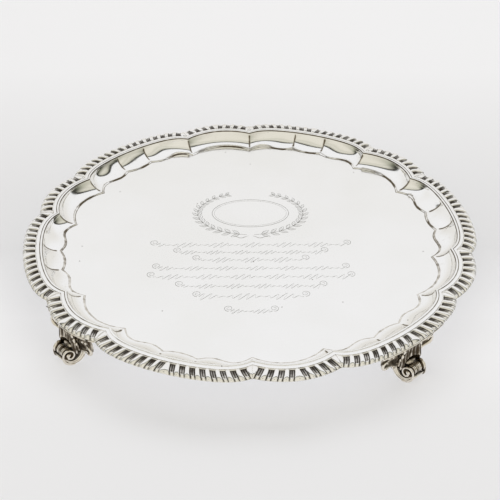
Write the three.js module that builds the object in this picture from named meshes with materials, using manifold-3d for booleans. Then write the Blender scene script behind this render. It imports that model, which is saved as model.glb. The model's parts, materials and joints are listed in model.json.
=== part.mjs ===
// Silver salver: a flat plate with a panelled, fluted bouge, a cast gadroon border
// laid round its rim in twelve sections, and four cast scroll feet.
// Millimetres, +Z up, origin on the table under the centre of the plate.
import * as THREE from 'three';
import Module from 'manifold-3d';

const wasm = await Module();
wasm.setup();

// Heights above the table
const WELL_Z = 30.8; // upper face of the flat well
const RIM_Z = 42.3; // upper face of the rim
const SHEET = 1.2; // gauge of the plate
const GAP = 0.3; // solder line between touching pieces

// Six-fold outline: a short lobe and a long segment meet in cusps
const SHORT_AT = 40.3; // direction of one short lobe, degrees; a cusp falls on -Y
const SHORT_HALF = 10.3; // half the angle of a short lobe
const LONG_HALF = 30 - SHORT_HALF;
const PANEL_HALF = 4.9; // half the angle of the narrow panel amid a long segment

// Radii at the cusp, at a short lobe and at the middle of a long segment
const WELL_EDGE = { cusp: 167.7, short: 177 };
const BORDER_INNER = { cusp: 190, short: 197.5, long: 197.8 };
const BORDER_OUTER = { cusp: 203.4, short: 209.8, long: 209.8 };
const BAND = 5.7; // width of the moulded band inside the border

// Gadroons
const SHORT_GADROONS = 8;
const LONG_GADROONS = 16;
const BORDER_DROP = 3; // rim plane down to the outer edge
const LIP = 0.8; // outer edge down to the turned-under lip
const CROWN = 0.9; // rise of the gadroons above the rim plane
const GROOVE = 1.2; // depth of the hollow between two gadroons
const FIRST_LEAN = 0.9; // lean of the gadroon next to the middle one, degrees
const LAST_LEAN = 1.5; // lean of the last gadroon before a cusp, degrees

// Feet
const FOOT_AT = 40.3; // direction of the first of the four feet
const TOE = { r: 209.5, z: 11.7, radius: 6.2 }; // roll at the toe
const FOOT_HALF = 10.8; // half the width across the two toe scrolls
const EAR = { t: 26.5, z: 23.2, radius: 4 }; // scroll at the end of each wing
const CABOCHON = { r: 203.4, z: 15.6, half: [2.8, 5.8, 2.8] }; // oval boss above the toe
const SHELL_HALF = 10; // half the width of the shell in the throat of the strap
const FLANGE = { half: 9.9, inner: 192, inset: 0.7, bottom: 36.6 }; // strip under the border, half in degrees

const rad = THREE.MathUtils.degToRad;

// Angle from the nearest short lobe, 0 to 30 degrees
function fold(deg) {
  const a = THREE.MathUtils.euclideanModulo(deg - SHORT_AT + 30, 60);
  return Math.abs(a - 30);
}

// Six-fold edge swelling out from its cusps
function edge(deg, { cusp, short, long }) {
  const s = fold(deg);
  if (s < SHORT_HALF) {
    return cusp + (short - cusp) * (1 - (s / SHORT_HALF) ** 2);
  }
  return cusp + (long - cusp) * (1 - ((30 - s) / LONG_HALF) ** 6);
}

// Edge of the flat well: one bay per short lobe, three panels per long segment
function wellEdge(deg) {
  const s = fold(deg);
  const { cusp, short } = WELL_EDGE;
  if (s < SHORT_HALF) {
    return cusp + (short - cusp) * (1 - (s / SHORT_HALF) ** 2);
  }
  if (s > 30 - PANEL_HALF) {
    return cusp + 4.3 + 3.5 * ((30 - s) / PANEL_HALF) ** 2;
  }
  const u = (s - SHORT_HALF) / (LONG_HALF - PANEL_HALF);
  return cusp + 7.8 * u + 2.3 * Math.sin(Math.PI * u) + 3.4 * Math.sin(2 * Math.PI * u);
}

// Directions that divide each stretch of the outline evenly, cusps included
function columns(stretches) {
  const list = [];
  for (let k = 0; k < 6; k += 1) {
    let start = SHORT_AT + 60 * k - SHORT_HALF;
    for (const [angle, steps] of stretches) {
      for (let i = 0; i < steps; i += 1) {
        list.push(start + (angle * i) / steps);
      }
      start += angle;
    }
  }
  return list;
}

// Ring or disc whose cross-section changes with direction
function turned(directions, section) {
  const count = section(0).length;
  const blank = Array.from({ length: count }, (_, j) => new THREE.Vector2(1 + j, j));
  const geometry = new THREE.LatheGeometry(blank, directions.length);
  const position = geometry.attributes.position;
  for (let i = 0; i <= directions.length; i += 1) {
    const deg = directions[(directions.length - i) % directions.length];
    section(deg).forEach(([r, z, lean = 0], j) => {
      const a = rad(deg + lean);
      position.setXYZ(i * count + j, r * Math.cos(a), r * Math.sin(a), z);
    });
  }
  return geometry;
}

function solid(geometry) {
  const whole = geometry.index ? geometry.toNonIndexed() : geometry;
  const points = whole.attributes.position;
  const mesh = new wasm.Mesh({
    numProp: 3,
    vertProperties: new Float32Array(points.array),
    triVerts: Uint32Array.from({ length: points.count }, (_, i) => i),
  });
  mesh.merge();
  return new wasm.Manifold(mesh);
}

function geometryOf(body) {
  const mesh = body.getMesh();
  const geometry = new THREE.BufferGeometry();
  geometry.setAttribute('position', new THREE.BufferAttribute(mesh.vertProperties, 3));
  geometry.setIndex(new THREE.BufferAttribute(mesh.triVerts, 1));
  geometry.computeVertexNormals();
  return geometry;
}

// Plate: flat well, bouge rising to the moulded band, edge of the sheet
function plateSection(deg) {
  const well = wellEdge(deg);
  const rim = edge(deg, BORDER_INNER) - GAP;
  const band = rim - BAND;
  const upper = [[0, WELL_Z], [well, WELL_Z]];
  for (const u of [0.35, 0.65, 0.88]) {
    upper.push([well + (band - well) * u, WELL_Z + (RIM_Z - WELL_Z) * u ** 1.7]);
  }
  upper.push([band, RIM_Z + 0.3], [band + 1.3, RIM_Z + 0.3], [band + 1.8, RIM_Z - 0.5]);
  upper.push([rim, RIM_Z - 0.5]);
  const lower = [[rim, RIM_Z - 1.9], [band + 0.9, RIM_Z - 1.6]];
  for (const u of [0.65, 0.35]) {
    lower.push([well + (band - well) * u + 0.8, WELL_Z + (RIM_Z - WELL_Z) * u ** 1.7 - 1.3]);
  }
  lower.push([well + 0.5, WELL_Z - SHEET], [0, WELL_Z - SHEET]);
  return [...upper, ...lower];
}

const plateColumns = columns([
  [2 * SHORT_HALF, 6],
  [LONG_HALF - PANEL_HALF, 5],
  [2 * PANEL_HALF, 4],
  [LONG_HALF - PANEL_HALF, 5],
]);

// Position along the run of gadroons: whole numbers are ridges, halves are grooves
function gadroon(deg) {
  const a = THREE.MathUtils.euclideanModulo(deg - SHORT_AT + SHORT_HALF, 60);
  const short = a < 2 * SHORT_HALF;
  const half = short ? SHORT_HALF : LONG_HALF;
  const count = short ? SHORT_GADROONS : LONG_GADROONS;
  const along = (short ? a : a - 2 * SHORT_HALF) / half - 1;
  const ridge = Math.cos(Math.PI * count * (along + 1)) > 0;
  const toCusp = half * (1 - Math.abs(along));
  const wanted = FIRST_LEAN + (LAST_LEAN - FIRST_LEAN) * Math.abs(along);
  return { ridge, lean: Math.min(wanted, 0.6 * toCusp) * Math.sign(Math.round(along * 100)) };
}

// Border: gadroons rolling over from the band to a turned-under lip
function borderSection(deg) {
  const { ridge, lean } = gadroon(deg);
  const cut = ridge ? 0 : GROOVE;
  const bottom = RIM_Z - BORDER_DROP;
  const inner = edge(deg, BORDER_INNER);
  const points = [[inner, RIM_Z - 1.9], [inner, RIM_Z + (ridge ? 0.5 : 0)]];
  for (const turn of [30, 58, 82]) {
    const leaning = lean * Math.sin(rad(turn));
    const start = edge(deg + leaning, BORDER_INNER);
    const reach = edge(deg + leaning, BORDER_OUTER) - start - cut * Math.sin(rad(turn));
    const rise = BORDER_DROP + CROWN - cut * Math.sin(rad(2 * turn));
    points.push([start + reach * Math.sin(rad(turn)), bottom + rise * Math.cos(rad(turn)), leaning]);
  }
  const outer = edge(deg + lean, BORDER_OUTER);
  points.push([outer, bottom, lean], [outer - 1, bottom - LIP, lean], [outer - 2.2, bottom - LIP, lean]);
  points.push([inner + 5.5, RIM_Z - 2.6], [inner, RIM_Z - 1.9]);
  return points;
}

const borderColumns = columns([
  [2 * SHORT_HALF, 2 * SHORT_GADROONS],
  [2 * LONG_HALF, 2 * LONG_GADROONS],
]);

// Tall slice between two directions, its flanks moved in by half a solder line
function slice(from, to) {
  const middle = rad((from + to) / 2);
  const half = rad((to - from) / 2);
  const shift = GAP / 2 / Math.sin(half);
  const tip = new THREE.Vector2(Math.cos(middle), Math.sin(middle)).multiplyScalar(shift);
  const shape = new THREE.Shape([
    tip,
    new THREE.Vector2(Math.cos(middle - half), Math.sin(middle - half)).multiplyScalar(300).add(tip),
    new THREE.Vector2(Math.cos(middle + half), Math.sin(middle + half)).multiplyScalar(300).add(tip),
  ]);
  return new THREE.ExtrudeGeometry(shape, { depth: 100, bevelEnabled: false });
}

// Scroll foot, standing in its own radial plane: x outward, y along the rim, z up
function sideView() {
  const front = [[202.3, 34], [200.9, 29], [199.8, 23], [197.6, 17], [196.6, 12.5], [198.6, 7.5], [204.5, 6]];
  const back = [[212.9, 4.2], [206, -0.25], [200, 0.4], [195, 3.4], [192, 8.5], [191.3, 15], [192.2, 24]];
  const shape = new THREE.Shape();
  shape.moveTo(204.5, 44);
  shape.splineThru(front.map(([r, z]) => new THREE.Vector2(r, z)));
  shape.lineTo(TOE.r, TOE.z);
  shape.lineTo(215.4, 10);
  shape.splineThru(back.map(([r, z]) => new THREE.Vector2(r, z)));
  shape.lineTo(193, 44);
  return shape;
}

// Shell that fills the throat of the strap, seen from the side
function shellView() {
  const front = [[206.8, 44], [205.8, 33], [205.6, 25], [205.8, 18.2], [203.2, 17.2], [202.4, 14], [202.4, 8]];
  return new THREE.Shape([...front, [197, 8], [197, 20], [200, 44]].map(([r, z]) => new THREE.Vector2(r, z)));
}

function frontView() {
  const side = [[9.8, 6], [11.4, 10.4], [14, 15], [17.4, 18.6], [22.5, 20.2], [27.5, 20.6], [30.2, 26]];
  const shape = new THREE.Shape();
  shape.moveTo(-30.5, 45);
  shape.splineThru(side.slice().reverse().map(([t, z]) => new THREE.Vector2(-t, z)));
  shape.lineTo(-10, -1);
  shape.lineTo(10, -1);
  shape.lineTo(...side[0]);
  shape.splineThru(side.slice(1).map(([t, z]) => new THREE.Vector2(t, z)));
  shape.lineTo(30.5, 45);
  return shape;
}

function roller(radius, width, x, y, z) {
  const geometry = new THREE.CylinderGeometry(radius, radius, width, 20);
  return solid(geometry.translate(x, y, z));
}

const profile = new THREE.ExtrudeGeometry(sideView(), { depth: 70, bevelEnabled: false, curveSegments: 3 });
profile.rotateX(Math.PI / 2).translate(0, 35, 0);
const shell = new THREE.ExtrudeGeometry(shellView(), { depth: 2 * SHELL_HALF, bevelEnabled: false });
shell.rotateX(Math.PI / 2).translate(0, SHELL_HALF, 0);
const face = new THREE.ExtrudeGeometry(frontView(), { depth: 40, bevelEnabled: false, curveSegments: 2 });
face.rotateX(Math.PI / 2).rotateZ(Math.PI / 2).translate(185, 0, 0);

const underside = RIM_Z - BORDER_DROP - LIP; // lowest edge of the border

// Everything at or above the underside of the plate and border, less a solder line
const above = solid(turned(plateColumns, (deg) => {
  const well = wellEdge(deg);
  const inner = edge(deg, BORDER_INNER);
  const outer = edge(deg, BORDER_OUTER);
  const band = inner - BAND;
  const low = underside - GAP;
  return [
    [0, 60], [225, 60], [225, low], [outer - 2.6, low], [inner + 5.2, RIM_Z - 2.6 - GAP],
    [band + 1.5, RIM_Z - 2.4], [(well + band) / 2 + 2, WELL_Z + 0.5], [well, WELL_Z - SHEET - GAP],
    [0, WELL_Z - SHEET - GAP],
  ];
}));

// Ring that the flange of each foot is cut from
const flange = solid(turned(plateColumns, (deg) => {
  const outer = edge(deg, BORDER_OUTER) - FLANGE.inset;
  return [
    [FLANGE.inner, FLANGE.bottom], [FLANGE.inner, underside], [outer, underside], [outer, FLANGE.bottom],
    [FLANGE.inner, FLANGE.bottom],
  ];
}));

function foot(deg) {
  let body = solid(profile).intersect(solid(face)).add(solid(shell));
  for (const side of [-1, 1]) {
    body = body.add(roller(TOE.radius, 5, TOE.r, side * (FOOT_HALF - 2.5), TOE.z));
    const ear = new THREE.CylinderGeometry(EAR.radius, EAR.radius, 6, 14);
    ear.rotateZ(Math.PI / 2).translate(200.5, side * EAR.t, EAR.z);
    body = body.add(solid(ear));
  }
  body = body.add(roller(TOE.radius - 0.8, 2 * FOOT_HALF - 6, TOE.r, 0, TOE.z));
  const cabochon = new THREE.SphereGeometry(1, 14, 8);
  cabochon.scale(...CABOCHON.half).translate(CABOCHON.r, 0, CABOCHON.z);
  body = body.add(solid(cabochon));
  const ground = solid(new THREE.BoxGeometry(80, 80, 60).translate(200, 0, 30));
  const strip = flange.intersect(solid(slice(deg - FLANGE.half, deg + FLANGE.half)));
  return body.intersect(ground).rotate([0, 0, deg]).add(strip).subtract(above);
}

const group = new THREE.Group();
group.name = 'salver';

function addPiece(name, geometry, colour, roughness) {
  const material = new THREE.MeshStandardMaterial({ color: colour, roughness, metalness: 1 });
  const mesh = new THREE.Mesh(geometry, material);
  mesh.name = name;
  group.add(mesh);
}

addPiece('salver_plate', turned(plateColumns, plateSection), '#dcdbd6', 0.22);

const border = solid(turned(borderColumns, borderSection));
for (let k = 0; k < 6; k += 1) {
  const middle = SHORT_AT + 60 * k;
  const short = border.intersect(solid(slice(middle - SHORT_HALF, middle + SHORT_HALF)));
  const long = border.intersect(solid(slice(middle + SHORT_HALF, middle + 60 - SHORT_HALF)));
  addPiece(`border_short_${k + 1}`, geometryOf(short), '#d2d0c9', 0.28);
  addPiece(`border_long_${k + 1}`, geometryOf(long), '#d2d0c9', 0.28);
}

for (let k = 0; k < 4; k += 1) {
  addPiece(`scroll_foot_${k + 1}`, geometryOf(foot(FOOT_AT + 90 * k)), '#b9b5aa', 0.35);
}

export default group;
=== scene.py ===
"""Silver salver on four scroll feet: the looks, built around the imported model."""
import json
import math

import bmesh
import bpy
from mathutils import Matrix, Vector


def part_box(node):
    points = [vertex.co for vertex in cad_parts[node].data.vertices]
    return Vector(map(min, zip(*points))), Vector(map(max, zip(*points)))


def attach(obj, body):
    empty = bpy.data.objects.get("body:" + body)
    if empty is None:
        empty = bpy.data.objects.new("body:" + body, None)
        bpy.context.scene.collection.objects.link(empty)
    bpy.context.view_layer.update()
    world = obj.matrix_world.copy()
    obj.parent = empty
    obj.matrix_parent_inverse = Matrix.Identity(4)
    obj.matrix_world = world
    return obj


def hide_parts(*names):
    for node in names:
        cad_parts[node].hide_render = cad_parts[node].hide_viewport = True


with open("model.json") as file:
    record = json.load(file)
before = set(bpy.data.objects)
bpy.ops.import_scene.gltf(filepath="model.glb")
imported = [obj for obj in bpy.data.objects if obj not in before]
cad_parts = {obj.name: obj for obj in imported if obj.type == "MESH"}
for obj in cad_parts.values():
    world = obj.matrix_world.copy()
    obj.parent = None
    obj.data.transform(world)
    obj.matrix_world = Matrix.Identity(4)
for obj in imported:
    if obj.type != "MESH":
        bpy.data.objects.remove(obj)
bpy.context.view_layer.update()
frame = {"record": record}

MM = 0.001
mounts = {mount["name"]: mount for mount in frame["record"]["mounts"]}

# Rise of the moulded band over the rim plane, millimetres
BAND_RISE = 0.3
# Heights above the table and thickness of the sheet
WELL_Z = mounts["well_top"]["pos_m"][2] / MM
RIM_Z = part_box("salver_plate")[1][2] / MM - BAND_RISE
SHEET = WELL_Z - mounts["well_underside"]["pos_m"][2] / MM
# Gaps between the plate and the border, and between two sections of the border
GAP = 0.3
JOINT = 0.04

# Six-fold outline, as in the CAD part
SHORT_AT = 40.3
SHORT_HALF = 10.3
LONG_HALF = 30 - SHORT_HALF
PANEL_HALF = 4.9
# Edges of the well, before its notches, and of the border: at a cusp, a short lobe, a long segment
WELL_EDGE = (167.7, 177.0, 174.2)
BORDER_INNER = (190.0, 197.5, 197.8)
BORDER_OUTER = (203.4, 209.8, 209.8)
# What the notches of a long segment add to the cusp's radius
NOTCH_MIDDLE = 4.3
NOTCH_CREASE = 7.8
NOTCH_BOW = 2.3
NOTCH_SWAY = 3.4

# Width of the moulded band, and height of the fillet round the well
BAND = 5.7
STEP = 0.9
# Drop of the border's outer edge below the rim plane, and of the lip under it
BORDER_DROP = 3.0
LIP = 0.8

SHORT_GADROONS = 8
LONG_GADROONS = 16
# Share of a section's half angle that lies inside the last groove
SHORT_SPAN = 0.783
LONG_SPAN = 0.886


def smooth(low, high, x):
    """Soft step from 0 at low to 1 at high."""
    t = min(1.0, max(0.0, (x - low) / (high - low)))
    return t * t * (3 - 2 * t)


def fold(deg):
    """Angle from the nearest short lobe, 0 to 30 degrees."""
    return abs((deg - SHORT_AT + 30) % 60 - 30)


def edge(deg, radii):
    """Six-fold edge that swells out between its cusps."""
    cusp, short, long = radii
    s = fold(deg)
    if s < SHORT_HALF:
        return cusp + (short - cusp) * (1 - (s / SHORT_HALF) ** 2)
    return cusp + (long - cusp) * (1 - ((30 - s) / LONG_HALF) ** 6)


def well_notches(deg):
    """What the three panels of a long segment add to the edge of the well."""
    s = fold(deg)
    if s < SHORT_HALF:
        return 0.0
    if s > 30 - PANEL_HALF:
        added = NOTCH_MIDDLE + (NOTCH_CREASE - NOTCH_MIDDLE) * ((30 - s) / PANEL_HALF) ** 2
    else:
        u = (s - SHORT_HALF) / (LONG_HALF - PANEL_HALF)
        added = NOTCH_CREASE * u + NOTCH_BOW * math.sin(math.pi * u) + NOTCH_SWAY * math.sin(2 * math.pi * u)
    return WELL_EDGE[0] + added - edge(deg, WELL_EDGE)


def panel_share(deg):
    """How far round its own panel of the bouge a direction lies, 0 to 1."""
    s = (deg - SHORT_AT + SHORT_HALF) % 60
    for width in (2 * SHORT_HALF, LONG_HALF - PANEL_HALF, 2 * PANEL_HALF, LONG_HALF - PANEL_HALF):
        if s < width:
            return s / width
        s -= width
    return 0.0


def polar(r, deg, z):
    """Point in metres from a radius and a height in millimetres."""
    a = math.radians(deg)
    return (r * math.cos(a) * MM, r * math.sin(a) * MM, z * MM)


def make_object(name, vertices, faces, material, tones):
    """Smooth mesh whose tones, 0 to 1, say how deep the stain lies and how much shade is painted there."""
    mesh = bpy.data.meshes.new(name)
    mesh.from_pydata(vertices, [], faces)
    mesh.shade_smooth()
    mesh.materials.append(material)
    layer = mesh.attributes.new("stain_and_shade", "FLOAT", "POINT")
    layer.data.foreach_set("value", tones)
    mesh.update()
    piece = bpy.data.objects.new(name, mesh)
    bpy.context.collection.objects.link(piece)
    return piece


def stand_for(piece, slot, *nodes):
    """Put a piece in the place of CAD nodes, on the one body there is."""
    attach(piece, "root")
    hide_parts(*nodes)


# ---------------------------------------------------------------- materials

def node(tree, kind, **values):
    made = tree.nodes.new(kind)
    for key, value in values.items():
        setattr(made, key, value)
    return made


def feed(tree, socket, value):
    """Link a socket to another node's output, or set its constant."""
    if isinstance(value, bpy.types.NodeSocket):
        tree.links.new(value, socket)
    else:
        socket.default_value = value


def noise(tree, vector, scale, detail=2.0):
    made = node(tree, "ShaderNodeTexNoise")
    feed(tree, made.inputs["Vector"], vector)
    feed(tree, made.inputs["Scale"], scale)
    feed(tree, made.inputs["Detail"], detail)
    return made.outputs["Fac"]


def remap(tree, value, before, after=(0, 1), kind="LINEAR"):
    """Value carried from one range to another."""
    made = node(tree, "ShaderNodeMapRange", interpolation_type=kind)
    feed(tree, made.inputs["Value"], value)
    for name, number in zip(("From Min", "From Max", "To Min", "To Max"), (*before, *after)):
        feed(tree, made.inputs[name], number)
    return made.outputs["Result"]


def ramp(tree, value, stops):
    """Colour from stops of (position, colour)."""
    made = node(tree, "ShaderNodeValToRGB")
    elements = made.color_ramp.elements
    for position, colour in stops[1:-1]:
        elements.new(position)
    for element, (position, colour) in zip(elements, stops):
        element.position = position
        element.color = (*colour, 1)
    feed(tree, made.inputs["Fac"], value)
    return made.outputs["Color"]


def mixed(tree, factor, first, second, kind="RGBA"):
    made = node(tree, "ShaderNodeMix", data_type=kind)
    feed(tree, made.inputs["Factor"], factor)
    feed(tree, made.inputs["A"], first)
    feed(tree, made.inputs["B"], second)
    return made.outputs["Result"]


def calculated(tree, operation, first, second, clamp=False):
    made = node(tree, "ShaderNodeMath", operation=operation, use_clamp=clamp)
    feed(tree, made.inputs[0], first)
    feed(tree, made.inputs[1], second)
    return made.outputs[0]


def bumped(tree, height, strength, distance, normal=None):
    made = node(tree, "ShaderNodeBump")
    feed(tree, made.inputs["Height"], height)
    feed(tree, made.inputs["Strength"], strength)
    feed(tree, made.inputs["Distance"], distance)
    if normal:
        feed(tree, made.inputs["Normal"], normal)
    return made.outputs["Normal"]


def specked(tree, place, colour):
    """A small dark speck in one of ten cells of a coarse grid."""
    cells = node(tree, "ShaderNodeTexVoronoi", feature="F1", voronoi_dimensions="2D")
    feed(tree, cells.inputs["Vector"], place)
    feed(tree, cells.inputs["Scale"], 38.0)
    draw = node(tree, "ShaderNodeSeparateColor")
    feed(tree, draw.inputs["Color"], cells.outputs["Color"])
    near = calculated(tree, "LESS_THAN", cells.outputs["Distance"], 0.022)
    chosen = calculated(tree, "LESS_THAN", draw.outputs["Red"], 0.10)
    return mixed(tree, calculated(tree, "MULTIPLY", near, chosen), colour, (0.30, 0.28, 0.25, 1))


def silver(name, colour, tarnish, patina, oxide, roughness, uneven=0.15, specks=False):
    """Polished silver: hairline scratches, faint tarnish clouds, stain and oxide in the recesses, and
    painted shade where a mesh's tones call for it.
    """
    material = bpy.data.materials.new(name)
    material.use_nodes = True
    tree = material.node_tree
    shader = tree.nodes["Principled BSDF"]
    place = node(tree, "ShaderNodeTexCoord").outputs["Object"]

    metal = ramp(tree, noise(tree, place, 14.0, 4.0), ((0.35, tarnish), (0.65, colour)))
    if specks:
        metal = specked(tree, place, metal)
    grain = noise(tree, place, 160.0, 3.0)
    polish = remap(tree, grain, (0.3, 0.7), (0.7 * roughness, 1.3 * roughness))

    # This attribute holds real stain and oxide and also painted shade; both are mixed in below as patina and
    # oxide colours.
    stain_and_shade = node(tree, "ShaderNodeAttribute", attribute_name="stain_and_shade").outputs["Fac"]
    patchy = remap(tree, grain, (0.25, 0.75), (-uneven, uneven))
    depth = calculated(tree, "ADD", stain_and_shade, patchy, clamp=True)
    stain_and_shade_mix = remap(tree, depth, (0.2, 0.9), kind="SMOOTHSTEP")
    stain_and_shade_colour = ramp(tree, stain_and_shade_mix, ((0.25, patina), (0.85, oxide)))

    brushed = node(tree, "ShaderNodeMapping")
    feed(tree, brushed.inputs["Vector"], place)
    feed(tree, brushed.inputs["Rotation"], (0, 0, 0.6))
    feed(tree, brushed.inputs["Scale"], (4, 260, 40))
    scratches = bumped(tree, noise(tree, brushed.outputs["Vector"], 3.0), 0.02, 0.0004)
    surface = bumped(tree, noise(tree, place, 30.0, 1.0), 0.03, 0.0006, scratches)

    shader.inputs["Metallic"].default_value = 1.0
    feed(tree, shader.inputs["Base Color"], mixed(tree, stain_and_shade_mix, metal, stain_and_shade_colour))
    feed(tree, shader.inputs["Roughness"], mixed(tree, stain_and_shade_mix, polish, 0.4, kind="FLOAT"))
    feed(tree, shader.inputs["Normal"], surface)
    return material


plate_silver = silver(
    "plate_silver", (0.955, 0.95, 0.94), (0.93, 0.925, 0.905), (0.42, 0.34, 0.22), (0.13, 0.105, 0.07),
    roughness=0.10, uneven=0.25, specks=True)
border_silver = silver(
    "border_silver", (0.95, 0.94, 0.92), (0.90, 0.885, 0.85), (0.24, 0.20, 0.15), (0.055, 0.045, 0.034),
    roughness=0.12)
foot_silver = silver(
    "foot_silver", (0.94, 0.905, 0.85), (0.78, 0.72, 0.61), (0.38, 0.30, 0.19), (0.075, 0.055, 0.033),
    roughness=0.15, uneven=0.3)
engraved_silver = silver(
    "engraved_silver", (0.50, 0.50, 0.49), (0.40, 0.395, 0.38), (0.30, 0.29, 0.27), (0.12, 0.11, 0.10),
    roughness=0.30)


# ---------------------------------------------------------------- plate

# The bouge rises from level to this steepness; its creases carry painted shade this many degrees to each
# side
BOUGE_STEPS = 22
BOUGE_STEEP = math.radians(72)
CREASE_WIDTH = 0.45


def plate_columns():
    """Directions round the plate, crowded at every cusp and crease."""
    directions = []
    corner = 0.07
    side = LONG_HALF - PANEL_HALF
    panels = ((2 * SHORT_HALF, 36), (side, 28), (2 * PANEL_HALF, 18), (side, 28))
    for k in range(6):
        start = SHORT_AT + 60 * k - SHORT_HALF
        for angle, steps in panels:
            directions += [start, start + corner]
            directions += [start + angle * i / steps for i in range(1, steps)]
            directions.append(start + angle - corner)
            start += angle
    return directions


# Moulded band: distance out from the top of the bouge, height over the rim plane, oxide in its grooves
# together with painted shade
BAND_PROFILE = (
    (-0.30, -0.95, 0.7), (0.00, -0.85, 0.9), (0.10, -0.45, 1.0), (0.18, -0.05, 0.8), (0.32, 0.15, 0.2),
    (0.75, 0.26, 0.0), (1.30, 0.30, 0.0), (1.75, 0.22, 0.1), (1.95, 0.05, 0.6), (2.15, -0.12, 0.95),
    (2.55, -0.10, 0.9), (2.80, 0.00, 0.2), (3.40, 0.05, 0.0), (4.30, 0.00, 0.0), (4.70, -0.05, 0.1),
    (5.10, -0.12, 0.2), (5.50, -0.20, 0.3), (5.66, -0.24, 0.6),
)


def well_line(deg, well):
    """Fillet round the well, with painted shade and reflection set by direction: a half-dark face in front,
    a bright face behind with a painted dark streak in each panel, and its edge lines fainter in front.
    """
    behind = math.sin(math.radians(deg))
    share = panel_share(deg)
    # Painted reflection and shade: the face is kept bright behind, a dark streak is painted across each
    # panel there, and the lines grow fainter towards the front.
    bright = smooth(-0.1, 0.45, behind)
    painted_dark_streak = smooth(0.05, 0.2, share) * smooth(0.6, 0.42, share) * bright
    line = 0.62 + 0.38 * smooth(-0.7, 0.1, behind)
    face = line * (0.62 - 0.5 * bright + 0.85 * painted_dark_streak)
    profile = (
        (-1.2, 0.0, 0.0), (-0.6, 0.0, 0.4 * line), (-0.3, 0.0, line),
        (0.0, 0.05, line * (0.7 + 0.3 * painted_dark_streak)), (0.4, 0.28, face), (0.9, 0.62, face),
        (1.3, STEP - 0.05, 0.85 * line), (1.6, STEP, 0.4 * line), (1.9, STEP - 0.02, 0.5 * line),
    )
    return [(well + out, WELL_Z + up, tone) for out, up, tone in profile]


def bouge(deg, top):
    """Upper side of the bouge up to the band, and points of its underside."""
    foot = edge(deg, WELL_EDGE) + 2.2
    notch = well_notches(deg)
    low = WELL_Z + STEP
    high = RIM_Z - 1.05
    from_crease = min(abs(fold(deg) - (30 - PANEL_HALF)), abs(fold(deg) - SHORT_HALF))
    crease = max(0.0, 1 - from_crease / CREASE_WIDTH)
    upper, lower = [], []
    for i in range(BOUGE_STEPS + 1):
        turn = BOUGE_STEEP * i / BOUGE_STEPS
        share = math.sin(turn) / math.sin(BOUGE_STEEP)
        rise = (1 - math.cos(turn)) / (1 - math.cos(BOUGE_STEEP))
        r = foot + (top - 0.45 - foot) * share + notch * (1 - rise ** 1.6)
        z = low + (high - low) * rise
        # Painted shade along the creases: it starts just above the foot of the bouge and fades out near its
        # top.
        crease_shade_reach = smooth(0.0, 0.02, rise) * (1 - 0.8 * smooth(0.8, 1.0, rise))
        upper.append((r, z, max(0.1, crease * crease_shade_reach)))
        if i % 3 == 0:
            lower.append((r + 0.9 * math.sin(turn), z - max(0.35, math.cos(turn)) * SHEET, 0))
    return upper, lower


def plate_profile(deg):
    """Radius, height, and oxide with painted shade, from the well, over the rim, to the well beneath."""
    well = edge(deg, WELL_EDGE) + well_notches(deg)
    rim = edge(deg, BORDER_INNER) - GAP
    top = rim - BAND
    upper, lower = bouge(deg, top)
    # Painted shade: the band's dark lines fade to about a third towards the front of the tray.
    band_shade_strength = 0.35 + 0.65 * smooth(-0.97, -0.45, math.sin(math.radians(deg)))
    band = [(top + out, RIM_Z + up, band_shade_strength * tone) for out, up, tone in BAND_PROFILE]
    lip = [(rim, RIM_Z - 0.3, 0.6), (rim, RIM_Z - 1.7, 0.3), (top + 1.6, RIM_Z - 1.6, 0)]
    beneath = [(well + 0.3, WELL_Z - SHEET, 0), (well - 1.2, WELL_Z - SHEET, 0)]
    return well_line(deg, well) + upper + band + lip + lower[::-1] + beneath


def build_plate():
    columns = plate_columns()
    vertices, tones = [], []
    for deg in columns:
        for r, z, tone in plate_profile(deg):
            vertices.append(polar(r, deg, z))
            tones.append(tone)
    rows = len(vertices) // len(columns)
    faces = []
    for i in range(len(columns)):
        here, there = i * rows, (i + 1) % len(columns) * rows
        for j in range(rows - 1):
            faces.append((here + j, here + j + 1, there + j + 1, there + j))
    upper, under = len(vertices), len(vertices) + 1
    vertices += [(0, 0, WELL_Z * MM), (0, 0, (WELL_Z - SHEET) * MM)]
    tones += [0, 0]
    for i in range(len(columns)):
        here, there = i * rows, (i + 1) % len(columns) * rows
        faces.append((upper, here, there))
        faces.append((under, there + rows - 1, here + rows - 1))
    return make_object("plate_sheet", vertices, faces, plate_silver, tones)


stand_for(build_plate(), "plate_silver", "salver_plate")


# ---------------------------------------------------------------- gadroon border

# How far the relief stays inside the border's outer edge, and depth of the ground between the gadroons
EDGE_INSET = 0.3
GROUND = 0.72
# Crown of the border: how far out it is highest, its height over the rim plane, its bow
CROWN_AT = 2.4
CROWN_HEIGHT = 0.24
CROWN_BOW = 0.018
# Where the rounded edge of the border begins, as a share of the way out, and how far it drops
SHOULDER = 0.70
SHOULDER_DROP = 1.85


def dome(x):
    return math.sqrt(max(0.0, 1 - x * x))


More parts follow.
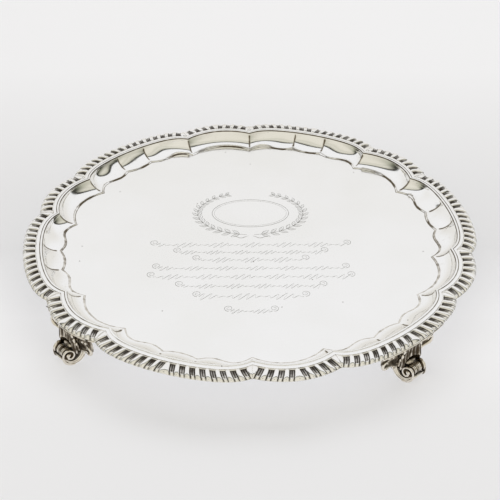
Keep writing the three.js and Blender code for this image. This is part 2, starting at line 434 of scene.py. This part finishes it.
def relief(s, v):
    """Lift and oxide of the border, s pitches from a gadroon's crest and v of the way out, with a painted
    reflection of the camera as a dark spot near the outer end of each crest.
    """
    half = 0.20 + 0.05 * v
    if s <= half:
        crest = dome(0.96 * s / half) * (0.45 + 0.55 * smooth(0.0, 0.12, v))
        # Painted reflection: a small dark spot, the camera mirrored in the gadroon's crest.
        painted_dark_spot = math.exp(-(s / 0.05) ** 2 - ((v - 0.925) / 0.022) ** 2)
        return 0.95 * crest - GROUND, 0.4 * (s / half) ** 8 + 0.9 * painted_dark_spot
    inside = 1 - (s - half) / (0.5 - half)
    opened = smooth(0.02, 0.07, v)
    reed = dome((inside - 0.42) / 0.34) * smooth(0.06, 0.16, v)
    bead = dome(inside / 0.72) * smooth(0.74, 0.86, v)
    lift = -GROUND - 0.8 * opened + 0.5 * reed * (1 - smooth(0.70, 0.8, v)) + 1.2 * bead
    oxide = opened * (1.05 - 0.30 * reed - 0.20 * smooth(0.25, 0.7, v)) - 1.1 * bead
    return lift, oxide


# Steps across half a pitch, from the crest of a gadroon to the middle of a flute
ACROSS = (0, 0.06, 0.12, 0.17, 0.205, 0.235, 0.25, 0.265, 0.30, 0.33, 0.36, 0.39, 0.42, 0.45, 0.475, 0.5)
# Steps from the band out to the border's edge
DOWN = (0, 0.02, 0.045, 0.07, 0.10, 0.14, 0.19, 0.25, 0.31, 0.37, 0.43, 0.49, 0.55, 0.61, 0.66, 0.70, 0.74,
        0.78, 0.81, 0.84, 0.87, 0.90, 0.925, 0.95, 0.97, 0.985, 0.995, 1.0)
# Lean of the first and the last gadroon from the middle of a section, in degrees between its two ends
FIRST_SHIFT = 0.65
LAST_SHIFT = 1.38
# Half width, in pitches, of the gadroons in the middle and at the ends of a section
CREST = 0.24


def spread_of(k, half_count, half_angle, span):
    """Directions of the inner and outer end of pitch k, from the middle of a section."""
    rate = half_angle * span / (half_count - 0.5)
    final = half_count - CREST
    near = min(k, final) * rate
    shift = FIRST_SHIFT + (LAST_SHIFT - FIRST_SHIFT) * (min(k, final) - 0.5) / (half_count - 1)
    far = near + shift
    if k < CREST:
        return near, k / CREST * (CREST * rate + FIRST_SHIFT)
    if k > final:
        share = (k - final) / (half_count - final)
        return near + (half_angle - near) * share, far + (half_angle - far) * share
    return near, far


def crown(v, wide):
    """Height over the rim plane and slope of the border, v of the way out, without relief."""
    x = wide * v - CROWN_AT
    t = max(0.0, (v - SHOULDER) / (1 - SHOULDER))
    left = math.sqrt(1 - t * t)
    height = CROWN_HEIGHT - CROWN_BOW * x * x - SHOULDER_DROP * (1 - left)
    slope = 2 * CROWN_BOW * x + SHOULDER_DROP * t / max(0.1, left) / (wide * (1 - SHOULDER))
    return height, slope


def border_columns(half_count):
    """Places across a section in pitches from its middle, crowded where the relief is steep."""
    steps = []
    for whole in range(half_count):
        steps += [whole + s for s in ACROSS[:-1]]
        steps += [whole + 1 - s for s in reversed(ACROSS)][:-1]
    steps.append(half_count)
    return [-k for k in reversed(steps[1:])] + steps


def border_section(name, middle, half_angle, count, span):
    """One casting of the border; span is the share of its half angle inside the last groove."""
    half_count = count // 2
    inset = 1 - JOINT / 2 / math.radians(half_angle) / 200
    bottom = RIM_Z - BORDER_DROP
    columns = border_columns(half_count)
    vertices, tones = [], []
    for k in columns:
        size = abs(k)
        s = abs(size - round(size))
        sign = -inset if k < 0 else inset
        near, far = (sign * end for end in spread_of(size, half_count, half_angle, span))
        for v in DOWN:
            deg = middle + near + (far - near) * v ** 1.3
            inner = edge(deg, BORDER_INNER)
            wide = edge(deg, BORDER_OUTER) - EDGE_INSET - inner
            height, slope = crown(v, wide)
            # The relief's tone is oxide in the flutes plus the painted dark spot on each crest.
            lift, oxide = relief(s, v)
            length = math.hypot(1, slope)
            r = inner + wide * v + lift * slope / length
            vertices.append(polar(r, deg, RIM_Z + height + lift / length))
            tones.append(min(1.0, max(0.0, oxide)))
        inner, outer = edge(middle + far, BORDER_INNER), edge(middle + far, BORDER_OUTER)
        beneath = (
            (outer - 0.15, bottom - 0.15, far), (outer - 0.9, bottom - LIP + 0.05, far),
            (outer - 2.2, bottom - LIP + 0.1, far), (inner + 5.5, RIM_Z - 2.5, far),
            (inner + 2, RIM_Z - 2.1, near), (inner, RIM_Z - 1.8, near), (inner, RIM_Z - 0.9, near),
        )
        vertices += [polar(r, middle + turn, z) for r, z, turn in beneath]
        tones += [0.4] * len(beneath)
    rows = len(vertices) // len(columns)
    faces = []
    for i in range(len(columns) - 1):
        for j in range(rows):
            a, b = i * rows + j, i * rows + (j + 1) % rows
            faces.append((a, b, b + rows, a + rows))
    last = (len(columns) - 1) * rows
    faces.append(tuple(reversed(range(rows))))
    faces.append(tuple(last + j for j in range(rows)))
    piece = make_object(name + "_cast", vertices, faces, border_silver, tones)
    stand_for(piece, "border_silver", name)


for k in range(6):
    at = SHORT_AT + 60 * k
    border_section(f"border_short_{k + 1}", at, SHORT_HALF, SHORT_GADROONS, SHORT_SPAN)
    border_section(f"border_long_{k + 1}", at + 30, LONG_HALF, LONG_GADROONS, LONG_SPAN)


# ---------------------------------------------------------------- feet

# Places of a foot are (out from the tray's axis, along the rim, up), millimetres.
# Stations of the strap from rim to toe: front out and up, back out and up, half width
STRAP = (
    (207.0, 38.5, 193.5, 39.7, 7.4), (206.0, 34.0, 192.6, 33.0, 8.2), (204.0, 29.0, 192.0, 27.0, 9.4),
    (201.6, 25.0, 191.8, 22.0, 9.9), (199.0, 20.8, 191.6, 17.5, 9.8), (197.3, 17.0, 191.7, 13.6, 9.6),
    (196.6, 13.0, 192.1, 10.0, 9.5), (197.2, 9.6, 193.0, 6.8, 9.5), (198.8, 7.0, 194.8, 3.9, 9.5),
    (201.0, 5.2, 197.6, 1.6, 9.5), (204.0, 4.3, 201.4, 0.45, 9.5), (207.0, 4.3, 206.0, 0.25, 9.2),
    (209.6, 5.0, 210.4, 1.7, 8.6), (211.6, 6.6, 213.4, 4.9, 7.9), (212.6, 8.6, 214.8, 8.4, 7.5),
)
# Scroll rolled up on the strap's end, before its splay: out, along, up, radius of the bar
SCROLL = (
    (205.0, 8.4, 0.95, 0.9), (208.6, 8.4, 1.4, 1.0), (211.6, 8.5, 3.2, 1.05), (213.8, 8.5, 6.0, 1.0),
    (214.5, 8.5, 9.4, 0.9), (214.1, 8.5, 12.4, 0.85), (212.6, 8.5, 14.9, 0.8), (210.0, 8.5, 16.1, 0.75),
    (207.3, 8.5, 15.6, 0.75), (205.6, 8.5, 13.8, 0.8), (205.0, 8.6, 11.3, 0.85), (205.9, 8.8, 9.1, 0.9),
    (208.0, 9.1, 8.0, 0.95), (210.0, 9.4, 9.0, 1.05), (210.8, 9.6, 10.8, 1.15),
)
EYE = (210.5, 9.4, 12.2)
EYE_SIZE = (1.9, 1.3, 1.85)
# How far the scrolls and the roll's ends spread for each millimetre nearer the tray's axis
SPLAY = 0.23
# Reeded roll between the scrolls: along, radius, oxide
ROLL_CENTRE = (209.6, 11.6)
ROLL_HALF = 8.5
ROLL = (
    (0.0, 4.3, 0.75), (1.2, 4.25, 0.7), (1.6, 3.9, 1.0), (2.0, 4.2, 0.4), (2.6, 4.35, 0.05), (3.1, 3.9, 1.0),
    (3.6, 4.2, 0.3), (4.1, 4.3, 0.1), (4.6, 3.9, 0.9), (5.2, 3.7, 1.0), (6.4, 3.8, 1.0), (6.9, 4.7, 0.6),
    (7.3, 5.05, 0.05), (8.0, 5.2, 0.0), (8.5, 5.1, 0.0), (8.7, 4.7, 0.6), (8.3, 4.2, 1.0), (8.0, 3.0, 1.0),
    (8.0, 0.4, 1.0),
)
# Shell that fills the throat of the strap: up, out at the middle, out at the edge, half width, oxide
LEAF = (
    (8.0, 202.2, 202.8, 7.4, 1.0), (12.0, 202.4, 204.6, 9.3, 1.0), (15.0, 202.4, 205.8, 9.9, 1.0),
    (16.8, 202.6, 205.8, 9.9, 0.8), (17.6, 203.6, 206.1, 10.1, 0.5), (18.4, 204.4, 206.3, 10.3, 0.35),
    (20.6, 204.2, 206.2, 10.3, 0.55), (25.0, 204.0, 205.9, 10.1, 0.65), (29.0, 204.4, 205.8, 9.6, 0.65),
    (33.0, 205.1, 205.9, 8.7, 0.65), (36.5, 206.2, 206.4, 7.9, 0.7), (38.3, 206.8, 206.6, 7.4, 0.8),
)
LEAF_FLUTES = 5
CABOCHON = (203.9, 0.0, 15.8)
CABOCHON_SIZE = (2.7, 5.9, 2.6)
# Lower edge of a wing: along, up
WING_EDGE = (
    (8.5, 6.0), (10.8, 7.0), (12.8, 9.8), (14.8, 13.5), (17.0, 16.9), (19.6, 19.1), (22.5, 19.8),
    (25.0, 19.8), (27.5, 20.4), (29.4, 22.6), (30.2, 26.0),
)
WING_TOP = 39.4
# Small scroll at the end of a wing: along, up, radius of the bar
EAR_CENTRE = (27.0, 23.0)
EAR = (
    (10.6, 6.9, 0.6), (12.4, 9.4, 0.7), (14.6, 13.3, 0.75), (17.2, 17.1, 0.8), (20.6, 19.2, 0.9),
    (24.0, 19.4, 1.3), (27.0, 19.8, 1.65), (29.4, 21.8, 1.5), (29.6, 24.6, 1.2), (27.6, 26.3, 1.05),
    (25.2, 25.9, 0.95), (24.2, 24.2, 0.85),
)
# Bosses: centre, half sizes, lean from upright towards the side, degrees
BOSSES = (
    ((202.2, 10.7, 21.6), (1.4, 1.3, 2.0), -6), ((204.0, 10.6, 26.2), (1.6, 1.5, 2.7), 6),
    ((205.0, 9.6, 31.0), (1.3, 1.2, 2.2), 20), ((206.0, 8.2, 34.9), (1.1, 1.0, 1.7), 32),
    ((200.4, 17.9, 27.4), (1.3, 2.0, 1.4), 40), ((200.9, 23.4, 29.6), (1.4, 2.1, 1.3), 25),
    ((201.9, 14.6, 31.8), (1.2, 1.5, 2.1), -35), ((203.0, 20.2, 34.4), (1.2, 2.2, 1.3), 20),
    ((201.4, 8.3, 11.6), (1.5, 1.1, 2.4), 8),
)
# Flange soldered under the border: half its spread in degrees; in from the border's edge, up, oxide
FLANGE_HALF = 9.9
FLANGE = (
    (10.0, 37.2, 0.6), (10.0, 38.4, 0.6), (2.4, 38.2, 0.5), (0.9, 38.2, 0.3), (0.45, 37.9, 0.1),
    (0.3, 37.4, 0.15), (0.45, 36.95, 0.25), (1.0, 36.6, 0.5), (5.0, 36.6, 0.6),
)


def bend(points, count):
    """Smooth run of count + 1 points through the given ones."""
    last = len(points) - 1
    run = []
    for i in range(count + 1):
        x = i * last / count
        k = min(int(x), last - 1)
        f = x - k
        near = [points[min(max(k + j, 0), last)] for j in (-1, 0, 1, 2)]
        run.append(tuple(
            b + 0.5 * f * (c - a + f * (2 * a - 5 * b + 4 * c - d + f * (3 * (b - c) + d - a)))
            for a, b, c, d in zip(*near)))
    return run


class Casting:
    """Closed skins of one casting, gathered into a single mesh."""

    def __init__(self):
        self.vertices, self.faces, self.tones = [], [], []

    def skin(self, loops):
        """Closed skin through loops of (out, along, up, oxide)."""
        start, size = len(self.vertices), len(loops[0])
        for loop in loops:
            for out, along, up, tone in loop:
                self.vertices.append(Vector((out, along, up)) * MM)
                self.tones.append(min(1.0, max(0.0, tone)))
        for i in range(len(loops) - 1):
            for j in range(size):
                a, b = start + i * size + j, start + i * size + (j + 1) % size
                self.faces.append((a, b, b + size, a + size))
        last = start + (len(loops) - 1) * size
        self.faces.append(tuple(reversed(range(start, start + size))))
        self.faces.append(tuple(range(last, last + size)))

    def bar(self, path, inward):
        """Round bar along (out, along, up, radius), darker where it sinks into the side it lies on."""
        places = [Vector(point[:3]) for point in path]
        ends = (places[0] - places[1]).normalized(), (places[-1] - places[-2]).normalized()
        first, last = path[0][3], path[-1][3]
        places = [places[0] + ends[0] * 0.7 * first] + places + [places[-1] + ends[1] * 0.7 * last]
        radii = [0.45 * first] + [point[3] for point in path] + [0.45 * last]
        side, loops = None, []
        for i, place in enumerate(places):
            ahead = (places[min(i + 1, len(places) - 1)] - places[max(i - 1, 0)]).normalized()
            side = side or ahead.orthogonal()
            side = (side - ahead * side.dot(ahead)).normalized()
            over = ahead.cross(side)
            loop = []
            for j in range(12):
                turn = math.tau * j / 12
                normal = side * math.cos(turn) + over * math.sin(turn)
                loop.append((*(place + normal * radii[i]), max(0.0, normal.dot(inward))))
            loops.append(loop)
        self.skin(loops)

    def boss(self, centre, size, lean=0.0, *, tone, uneven=0.06):
        """Raised boss, a little uneven and pointed at its lower end, dark where it meets the ground."""
        turned = Matrix.Rotation(math.radians(lean), 3, "X")
        loops = []
        for i in range(1, 12):
            rise = math.pi * i / 12
            loop = []
            for j in range(16):
                turn = math.tau * j / 16
                swell = math.sin(rise) * (1 + uneven * math.sin(3 * turn + centre[1] + 2 * rise))
                swell *= 1 + 0.18 * math.cos(rise)
                out, along = swell * math.cos(turn), swell * math.sin(turn)
                spot = turned @ Vector((size[0] * out, size[1] * along, size[2] * math.cos(rise)))
                loop.append((*(spot + Vector(centre)), tone + 0.9 * smooth(0.35, -0.3, out)))
            loops.append(loop)
        self.skin(loops)


def strap_loop(station):
    """Section of the strap: hollowed front, moulded edges and sides, rounded back."""
    out, up, back_out, back_up, half = station
    depth = math.hypot(back_out - out, back_up - up)
    inward = ((back_out - out) / depth, (back_up - up) / depth)
    middle = 0.45 * depth
    side = (
        (1.0, 0.0, 0.7), (0.95, 0.45 * half, 0.7), (0.7, half - 2.7, 0.75), (0.5, half - 2.0, 0.95),
        (-0.1, half - 1.5, 0.2), (-0.4, half - 0.9, 0.0), (-0.1, half - 0.25, 0.0), (0.45, half, 0.0),
        (0.8, half - 0.3, 0.4), (1.0, half - 1.0, 1.0), (middle - 0.5, half - 1.1, 0.65),
        (middle - 0.2, half - 0.5, 0.3), (middle + 0.2, half - 0.1, 0.0), (depth - 1.5, half - 0.1, 0.0),
        (depth - 1.2, half - 0.4, 0.5), (depth - 1.0, half - 0.9, 1.0), (depth - 0.8, half - 0.4, 0.5),
        (depth - 0.45, half, 0.0), (depth - 0.1, half - 0.3, 0.0), (depth, half - 0.9, 0.1),
        (depth + 0.1, 0.5 * half, 0.3), (depth + 0.15, 0.0, 0.3),
    )
    loop = [(out + inward[0] * deep, along, up + inward[1] * deep, tone) for deep, along, tone in side]
    return loop + [(out, -along, up, tone) for out, along, up, tone in reversed(loop[1:-1])]


def leaf_loop(station):
    """Level section of the shell: fluted front, grooved cheeks."""
    up, middle, edge_out, half, tone = station
    side = []
    arch = 2.9 * smooth(27.0, 18.4, up) * smooth(8.0, 17.0, up)
    for i in range(29):
        share = i / 28
        wave = 0.5 + 0.5 * math.cos(math.pi * LEAF_FLUTES * share)
        out = middle + (edge_out - middle) * share * share + 0.6 * wave * smooth(17.5, 19.5, up)
        side.append((out, half * share, up + arch * (1 - share * share), tone + 0.25 - 0.38 * wave ** 4))
    for i in range(1, 13):
        wave = 0.5 + 0.5 * math.cos(math.pi * i / 2)
        side.append((edge_out - 0.7 * i, half - 0.25 - 0.5 * (1 - wave), up, 0.45 + 0.55 * (1 - wave)))
    side.append((edge_out - 8.4, 0.0, up, 0.5))
    return side + [(out, -along, z, shade) for out, along, z, shade in reversed(side[1:-1])]


def wing_front(up):
    """How far out the front of a wing stands at a height: steep below, flaring under the border."""
    return 199.6 + (4.4 * ((up - 20) / 19.3) ** 1.7 if up > 20 else 0.36 * (up - 20))


def wing_loops(side):
    """Fluted leaf from the strap out to the small scroll, up to the underside of the border."""
    loops = []
    for along, low in bend(WING_EDGE, 30):
        high = WING_TOP - 0.03 * (along - 8)
        front, behind = [], []
        for i in range(25):
            share = i / 24
            up = low + (high - low) * share
            wave = math.sin(math.pi * (2.4 * share + 0.05 * (along - 8)))
            tone = 0.9 - 0.5 * wave ** 4
            if math.hypot(along - EAR_CENTRE[0], up - EAR_CENTRE[1]) < 2.8 or along > 29.3:
                tone = 0.9
            front.append((wing_front(up) + 0.7 * wave * wave, side * along, up, tone))
            if i % 3 == 0:
                back = wing_front(up) - 2.2 - 1.6 * share
                behind.append((back, side * along, up + 0.2 * (1 - share), 0.5))
        loops.append(front + behind[::-1])
    return loops


def flange_loops(at):
    """Strip that follows the border's edge; the foot's axis lies at the given direction."""
    loops = []
    for i in range(49):
        turn = FLANGE_HALF * (i / 24 - 1)
        outer = edge(at + turn, BORDER_OUTER)
        x, y = math.cos(math.radians(turn)), math.sin(math.radians(turn))
        loops.append([((outer - inset) * x, (outer - inset) * y, up, tone) for inset, up, tone in FLANGE])
    return loops


def roll_loops():
    """Reeded roll between the scrolls, from end to end."""
    loops = []
    mirrored = [(-along, radius, tone) for along, radius, tone in reversed(ROLL[1:])]
    for along, radius, tone in mirrored + list(ROLL):
        loop = []
        for j in range(40):
            turn = math.tau * j / 40
            across = radius * math.cos(turn)
            place = along * (1 - SPLAY * across / ROLL_HALF)
            loop.append((ROLL_CENTRE[0] + across, place, ROLL_CENTRE[1] + radius * math.sin(turn), tone))
        loops.append(loop)
    return loops


def cast_foot(at):
    """One foot: flange, strap, shell and roll, then scroll, wing and bosses on each side."""
    casting = Casting()
    casting.skin(flange_loops(at))
    casting.skin([strap_loop(station) for station in bend(STRAP, 84)])
    casting.skin([leaf_loop(station) for station in bend(LEAF, 66)])
    casting.skin(roll_loops())
    for side in (1, -1):
        scroll = [(out, side * (along + SPLAY * (ROLL_CENTRE[0] - out)), up, thick)
                  for out, along, up, thick in bend(SCROLL, 70)]
        casting.bar(scroll, Vector((0, -side, 0)))
        casting.boss((EYE[0], side * EYE[1], EYE[2]), EYE_SIZE, tone=-1.0)
        casting.skin(wing_loops(side))
        ear = [(wing_front(up) + 0.55, side * along, up, thick) for along, up, thick in bend(EAR, 60)]
        casting.bar(ear, Vector((-1, 0, 0)))
        for centre, size, lean in BOSSES:
            casting.boss((centre[0], side * centre[1], centre[2]), size, side * lean, tone=0.15)
    casting.boss(CABOCHON, CABOCHON_SIZE, tone=0.55, uneven=0.03)
    return casting


def build_feet():
    for k in range(4):
        at = SHORT_AT + 90 * k
        casting = cast_foot(at)
        turned = Matrix.Rotation(math.radians(at), 3, "Z")
        vertices = [turned @ vertex for vertex in casting.vertices]
        foot = make_object(f"scroll_foot_{k + 1}_cast", vertices, casting.faces, foot_silver, casting.tones)
        shell = bmesh.new()
        shell.from_mesh(foot.data)
        bmesh.ops.recalc_face_normals(shell, faces=shell.faces)
        shell.to_mesh(foot.data)
        shell.free()
        stand_for(foot, "foot_silver", f"scroll_foot_{k + 1}")


build_feet()


# ---------------------------------------------------------------- engraving

# How far a graver's line stands over the plate
CUT = 0.03
# Half width and half depth of the empty oval and of the wreath round it; how far behind the centre both lie
OVAL = (37.0, 24.0)
WREATH = (51.0, 37.0)
WREATH_AT = 47.0
LEAVES = 15
# Rows of penwork waves: distance in front of the centre, half width, height, pitch
WAVES = (
    (7, 88, 4.4, 5.8), (19, 66, 3.6, 4.6), (31, 48, 4.6, 5.2), (44, 84, 3.6, 5.4),
    (57, 88, 4.2, 6.0), (71, 62, 3.8, 4.8), (86, 46, 5.0, 6.6), (107, 18, 3.4, 4.4),
)


def cut(casting, path):
    """Graver's line through (x, y, width): a dark strip let into the plate, a hair proud of it."""
    low, high = WELL_Z - 0.2, WELL_Z + CUT
    loops = []
    for i, (x, y, width) in enumerate(path):
        back, ahead = path[max(i - 1, 0)], path[min(i + 1, len(path) - 1)]
        run, rise = ahead[0] - back[0], ahead[1] - back[1]
        length = math.hypot(run, rise)
        across, along = -rise / length * width / 2, run / length * width / 2
        left, right = (x + across, y + along), (x - across, y - along)
        loops.append([(*left, low, 0), (*left, high, 0), (*right, high, 0), (*right, low, 0)])
    casting.skin(loops)


def oval_line(half_wide, half_tall, width, start=0.0, sweep=math.tau, count=96):
    path = []
    for i in range(count + 1):
        turn = start + sweep * i / count
        path.append((half_wide * math.cos(turn), WREATH_AT + half_tall * math.sin(turn), width))
    return path


def laurel_leaf(casting, x, y, heading, length):
    """Two bowed lines that meet at the tip, and a midrib."""
    for bow, reach in ((0.17, 1.0), (-0.17, 1.0), (0.02, 0.7)):
        path = []
        for i in range(11):
            share = i / 10
            ahead, aside = length * reach * share, length * bow * math.sin(math.pi * share)
            path.append((x + ahead * math.cos(heading) - aside * math.sin(heading),
                         y + ahead * math.sin(heading) + aside * math.cos(heading),
                         0.14 + 0.42 * abs(bow) / 0.17 * math.sin(math.pi * share)))
        cut(casting, path)


def curl(casting, x, y, side, size):
    """Small spiral that ends a line."""
    path = []
    for i in range(37):
        share = i / 36
        turn = 1.6 * math.tau * share
        radius = size * (1 - 0.8 * share)
        across = side * (0.4 * size + radius * math.sin(turn))
        path.append((x + across, y + size - radius * math.cos(turn), 0.5 - 0.3 * share))
    cut(casting, path)


def engrave_wreath(casting):
    """Two laurel branches, tied at the foot, round an empty oval."""
    cut(casting, oval_line(*OVAL, 0.55))
    cut(casting, oval_line(OVAL[0] - 2.2, OVAL[1] - 2.2, 0.25))
    first, sweep, steps = math.radians(-86), math.radians(152), 60
    branch = oval_line(*WREATH, 0.4, first, sweep, steps)
    foot = WREATH_AT - WREATH[1] - 2.2
    for side in (1, -1):
        stem = [(side * x, y, width) for x, y, width in branch]
        cut(casting, stem)
        for i in range(LEAVES):
            step = 3 + 4 * i
            x, y, _ = stem[min(step, steps - 2)]
            turn = first + sweep * step / steps
            forward = math.atan2(WREATH[1] * math.cos(turn), -WREATH[0] * math.sin(turn))
            for lean in (0.62, -0.62):
                heading = forward + lean
                laurel_leaf(casting, x, y, heading if side > 0 else math.pi - heading, 9.5 - 0.2 * i)
        tie = []
        for i in range(13):
            swell = math.sin(math.pi * i / 12)
            tie.append((side * (2 + 14 * i / 12), foot - 3.4 * swell ** 2, 0.2 + 0.5 * swell))
        cut(casting, tie)


def engrave_waves(casting):
    """Rows of slanting waves, each with a curl at both ends."""
    for front, half, tall, pitch in WAVES:
        count = int(2 * half / pitch) * 12
        path = []
        for i in range(count + 1):
            x = -half + 2 * half * i / count
            phase = math.tau * (x + half) / pitch
            lift = tall * math.sin(phase) * (0.55 + 0.45 * math.sin(0.19 * phase + 0.3 * front))
            path.append((x + 0.7 * lift, lift - front, 0.14 + 0.34 * max(0.0, math.cos(phase))))
        cut(casting, path)
        for side in (1, -1):
            curl(casting, side * half, -front, side, 4.2)


def build_engraving():
    """Laurel wreath round an empty oval, over rows of plain penwork."""
    casting = Casting()
    engrave_wreath(casting)
    engrave_waves(casting)
    piece = make_object("plate_engraving", casting.vertices, casting.faces, engraved_silver, casting.tones)
    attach(piece, "root")


build_engraving()


# ---------------------------------------------------------------- stage

def build_floor():
    """Pale paper that glows as painted light: its glow dips just behind the tray's middle as a painted
    shadow, and is a little stronger under the tray, lifting the shade there.
    """
    material = bpy.data.materials.new("studio_paper")
    material.use_nodes = True
    tree = material.node_tree
    shader = tree.nodes["Principled BSDF"]
    place = node(tree, "ShaderNodeTexCoord")
    split = node(tree, "ShaderNodeSeparateXYZ")
    feed(tree, split.inputs["Vector"], place.outputs["Object"])
    # Painted light by depth: brighter under the tray's front, dipping from behind its middle to a little
    # past its back edge as a painted shadow.
    levels = (
        (0.0, 0.395), (0.16, 0.42), (0.22, 0.455), (0.27, 0.445), (0.31, 0.40), (0.36, 0.325), (0.44, 0.335),
        (0.50, 0.355), (0.60, 0.39), (0.68, 0.42), (1.0, 0.42),
    )
    stops = [(position, (level, level, 1.025 * level)) for position, level in levels]
    painted_glow = ramp(tree, remap(tree, split.outputs["Y"], (-0.4, 0.8)), stops)
    reach = node(tree, "ShaderNodeVectorMath", operation="LENGTH")
    feed(tree, reach.inputs[0], place.outputs["Object"])
    # Painted light: the glow is a little stronger under the tray.
    painted_light_pool = remap(tree, reach.outputs["Value"], (0.18, 0.24), (1.15, 1.0), kind="SMOOTHSTEP")
    grain = noise(tree, place.outputs["Generated"], 3.0)
    paper = ramp(tree, grain, ((0.0, (0.43, 0.43, 0.44)), (1.0, (0.45, 0.45, 0.46))))
    feed(tree, shader.inputs["Base Color"], paper)
    feed(tree, shader.inputs["Emission Color"], painted_glow)
    feed(tree, shader.inputs["Emission Strength"], painted_light_pool)
    shader.inputs["Roughness"].default_value = 0.9
    mesh = bpy.data.meshes.new("floor")
    mesh.from_pydata([(-6, -6, 0), (6, -6, 0), (6, 6, 0), (-6, 6, 0)], [], [(0, 1, 2, 3)])
    mesh.materials.append(material)
    floor = bpy.data.objects.new("floor", mesh)
    bpy.context.collection.objects.link(floor)


def build_world():
    """White sweep behind the tray, a dark gap overhead and a warm room on the reader's side."""
    world = bpy.data.worlds.new("studio")
    bpy.context.scene.world = world
    world.use_nodes = True
    tree = world.node_tree
    split = node(tree, "ShaderNodeSeparateXYZ")
    feed(tree, split.inputs["Vector"], node(tree, "ShaderNodeTexCoord").outputs["Generated"])
    dark, olive = (0.05, 0.05, 0.04), (0.16, 0.165, 0.12)
    white, cream, sand = (0.913, 0.915, 0.928), (0.82, 0.79, 0.705), (0.80, 0.78, 0.745)
    overhead = (
        (0.0, cream), (0.35, (0.79, 0.76, 0.67)), (0.43, (0.66, 0.64, 0.55)), (0.47, (0.75, 0.73, 0.65)),
        (0.51, (0.64, 0.62, 0.53)), (0.543, (0.50, 0.49, 0.41)), (0.558, dark), (0.601, dark),
        (0.615, white), (1.0, white),
    )
    sideways = (
        (0.0, cream), (0.20, (0.70, 0.67, 0.585)), (0.38, (0.48, 0.48, 0.39)), (0.47, olive),
        (0.53, dark), (0.600, dark), (0.625, white), (0.80, (0.86, 0.855, 0.84)), (1.0, sand),
    )
    span = remap(tree, split.outputs["Y"], (-1, 1))
    lowness = remap(tree, split.outputs["Z"], (0.75, 0.22), kind="SMOOTHSTEP")
    room = mixed(tree, lowness, ramp(tree, span, overhead), ramp(tree, span, sideways))
    feed(tree, tree.nodes["Background"].inputs["Color"], room)


def build_lights():
    """One soft lamp above and behind the tray, kept out of the reflections."""
    data = bpy.data.lights.new("overhead", "AREA")
    data.shape = "RECTANGLE"
    data.size, data.size_y = 1.6, 1.0
    data.energy = 9
    lamp = bpy.data.objects.new("overhead", data)
    lamp.location = (0.1, 0.75, 1.5)
    lamp.rotation_euler = (Vector((0, 0, 0)) - lamp.location).to_track_quat("-Z", "Y").to_euler()
    lamp.visible_glossy = False
    bpy.context.collection.objects.link(lamp)


def build_camera():
    """Camera at the photograph's angle, turned a little off the middle of the well."""
    distance, elevation, azimuth = 1.07962, math.radians(34.622), math.radians(-0.44)
    pan, tilt, roll = math.radians(0.034), math.radians(-0.465), math.radians(0.081)
    data = bpy.data.cameras.new("camera")
    data.sensor_width = 36
    data.lens = 83.0808
    camera = bpy.data.objects.new("camera", data)
    around = Matrix.Rotation(azimuth, 4, "Z") @ Matrix.Rotation(math.pi / 2 - elevation, 4, "X")
    aside = Matrix.Rotation(pan, 4, "Y") @ Matrix.Rotation(tilt, 4, "X") @ Matrix.Rotation(roll, 4, "Z")
    well = Matrix.Translation((0, 0, WELL_Z * MM))
    camera.matrix_world = well @ around @ Matrix.Translation((0, 0, distance)) @ aside
    bpy.context.collection.objects.link(camera)
    bpy.context.scene.camera = camera


build_floor()
build_world()
build_lights()
build_camera()
bpy.context.scene.view_settings.view_transform = "Standard"
